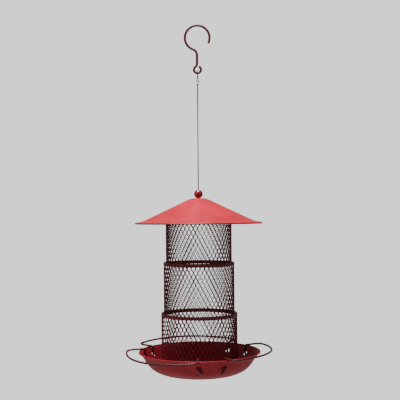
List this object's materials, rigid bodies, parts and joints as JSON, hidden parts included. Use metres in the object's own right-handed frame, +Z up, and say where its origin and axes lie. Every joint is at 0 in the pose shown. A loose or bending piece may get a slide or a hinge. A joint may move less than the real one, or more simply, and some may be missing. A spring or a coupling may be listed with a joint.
{
  "type": "hanging bird feeder",
  "caption": "Collapsible hanging seed feeder: conical roof, telescoping mesh tiers, dish tray and wire perches on a cable with a hook.",
  "frame": {"origin": "the hang point: the inside of the top of the hook, straight above the middle of the tray", "axes": "+Z up along the cable, +X in the hook's plane, to the side that the hook's mouth opens to, +Y away from the viewer"},
  "size_m": [0.252, 0.2497, 0.6003],
  "materials": {
    "red_paint": "semi-gloss powder coat",
    "ball_lacquer": "glossy lacquer",
    "cable_steel": "galvanised twisted strands",
    "ferrule_metal": "bare, crimped"
  },
  "bodies": {
    "hook": {"hanging_hook": "red_paint"},
    "hanger": {"hanger_cable": "cable_steel", "loop_ferrule": "ferrule_metal", "crossbar": "red_paint", "crossbar_washer": "ferrule_metal", "cable_stop": "ferrule_metal", "upper_mesh": "red_paint", "upper_top_ring": "red_paint", "upper_bottom_ring": "red_paint"},
    "roof": {"roof": "red_paint"},
    "ball": {"stop_ball": "ball_lacquer"},
    "middle_tier": {"middle_mesh": "red_paint", "middle_top_ring": "red_paint", "middle_bottom_ring": "red_paint"},
    "lower_tier": {"lower_mesh": "red_paint", "lower_top_ring": "red_paint", "lower_bottom_ring": "red_paint", "tray": "red_paint"},
    "perch_back": {"perch_back": "red_paint"},
    "perch_right": {"perch_right": "red_paint"},
    "perch_front_left": {"perch_front_left": "red_paint"}
  },
  "joints": [
    {"name": "hanger_swing", "type": "hinge", "parent": "hook", "child": "hanger", "pos_m": [0, 0, -0.0799], "axis": [1, 0, 0], "range_deg": [-75, 75]},
    {"name": "roof_lift", "type": "slide", "parent": "hanger", "child": "roof", "axis": [0, 0, 1], "range_m": [0, 0.12]},
    {"name": "ball_slide", "type": "slide", "parent": "roof", "child": "ball", "axis": [0, 0, 1], "range_m": [0, 0.05]},
    {"name": "middle_tier_slide", "type": "slide", "parent": "hanger", "child": "middle_tier", "axis": [0, 0, 1], "range_m": [0, 0.077]},
    {"name": "lower_tier_slide", "type": "slide", "parent": "middle_tier", "child": "lower_tier", "axis": [0, 0, 1], "range_m": [0, 0.08]},
    {"name": "perch_back_fold", "type": "hinge", "parent": "lower_tier", "child": "perch_back", "pos_m": [-0.01589, 0.06145, -0.5705], "axis": [0.9681, 0.2504, 0], "range_deg": [0, 62]},
    {"name": "perch_right_fold", "type": "hinge", "parent": "lower_tier", "child": "perch_right", "pos_m": [0.06054, -0.01909, -0.5705], "axis": [-0.3007, -0.9537, 0], "range_deg": [0, 67]},
    {"name": "perch_front_left_fold", "type": "hinge", "parent": "lower_tier", "child": "perch_front_left", "pos_m": [-0.04717, -0.04247, -0.5705], "axis": [-0.6691, 0.7431, 0], "range_deg": [0, 75]}
  ]
}
